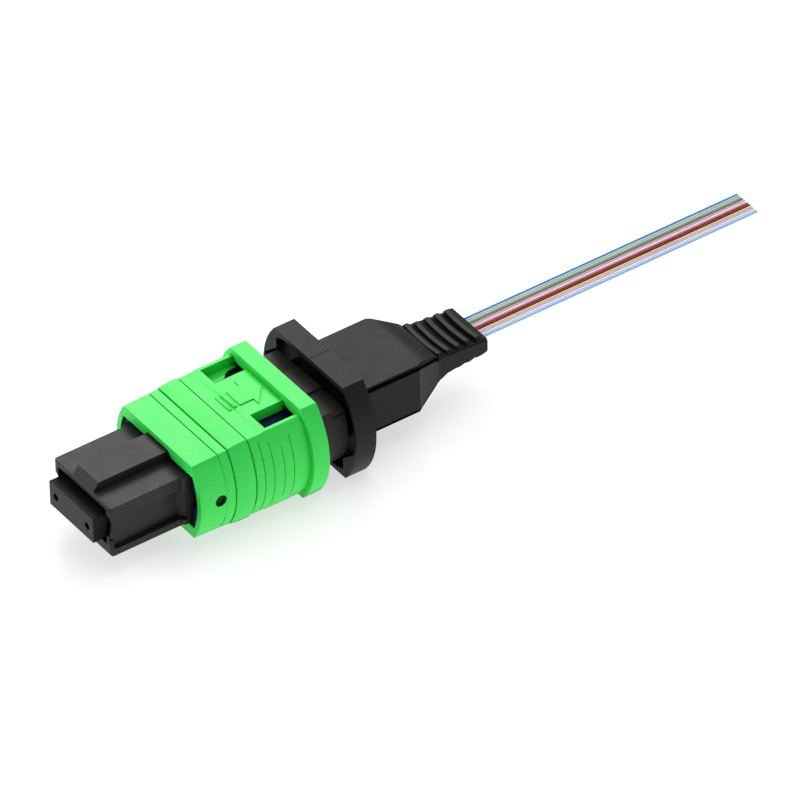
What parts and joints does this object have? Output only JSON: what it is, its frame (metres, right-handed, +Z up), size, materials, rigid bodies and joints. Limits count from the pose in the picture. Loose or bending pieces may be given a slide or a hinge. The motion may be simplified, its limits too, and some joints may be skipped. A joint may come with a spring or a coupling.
{
  "type": "mpo fibre connector",
  "caption": "Female MPO ribbon-fibre plug with floating ferrule, keyed housing, spring-returned coupling sleeve and flanged ribbed boot on a short bare ribbon.",
  "frame": {"origin": "centre of the ferrule's mating face, on the plug's axis", "axes": "+X rearward along the plug's axis towards the ribbon, +Z up on the key side, +Y to the left seen along +X"},
  "size_m": [0.0688, 0.0138, 0.0096],
  "materials": {
    "ferrule_black": "fine-ground glass-filled moulding",
    "housing_black": "satin moulded",
    "sleeve_green": "satin moulded",
    "carrier_navy": "satin moulded",
    "block_black": "satin moulded",
    "boot_black": "semi-gloss elastomer",
    "inner_rubber": "soft matt",
    "spring_steel": "drawn wire",
    "clamp_steel": "stamped sheet",
    "coat_blue": "coloured acrylate coating",
    "coat_orange": "coloured acrylate coating",
    "coat_green": "coloured acrylate coating",
    "coat_brown": "coloured acrylate coating",
    "coat_slate": "coloured acrylate coating",
    "coat_white": "coloured acrylate coating",
    "coat_red": "coloured acrylate coating",
    "coat_black": "coloured acrylate coating",
    "coat_yellow": "coloured acrylate coating",
    "coat_violet": "coloured acrylate coating",
    "coat_rose": "coloured acrylate coating",
    "coat_aqua": "coloured acrylate coating"
  },
  "bodies": {
    "housing": {"inner_housing": "housing_black", "spring_carrier": "carrier_navy", "spring_push": "block_black", "ribbon_boot": "boot_black", "main_spring": "spring_steel", "coupling_spring_left": "spring_steel", "coupling_spring_right": "spring_steel"},
    "sleeve": {"coupling_sleeve": "sleeve_green"},
    "ferrule": {"mt_ferrule": "ferrule_black", "ferrule_boot": "inner_rubber", "pin_holder": "clamp_steel", "fibre_01_blue": "coat_blue", "fibre_02_orange": "coat_orange", "fibre_03_green": "coat_green", "fibre_04_brown": "coat_brown", "fibre_05_slate": "coat_slate", "fibre_06_white": "coat_white", "fibre_07_red": "coat_red", "fibre_08_black": "coat_black", "fibre_09_yellow": "coat_yellow", "fibre_10_violet": "coat_violet", "fibre_11_rose": "coat_rose", "fibre_12_aqua": "coat_aqua"}
  },
  "joints": [
    {"name": "sleeve_slide", "type": "slide", "parent": "housing", "child": "sleeve", "axis": [1, 0, 0], "range_m": [0, 0.0016], "stiffness_N_per_m": 600, "deforming": ["coupling_spring_left", "coupling_spring_right"]},
    {"name": "ferrule_float", "type": "slide", "parent": "housing", "child": "ferrule", "axis": [1, 0, 0], "range_m": [0, 0.0008], "stiffness_N_per_m": 3000, "deforming": ["main_spring"]}
  ]
}
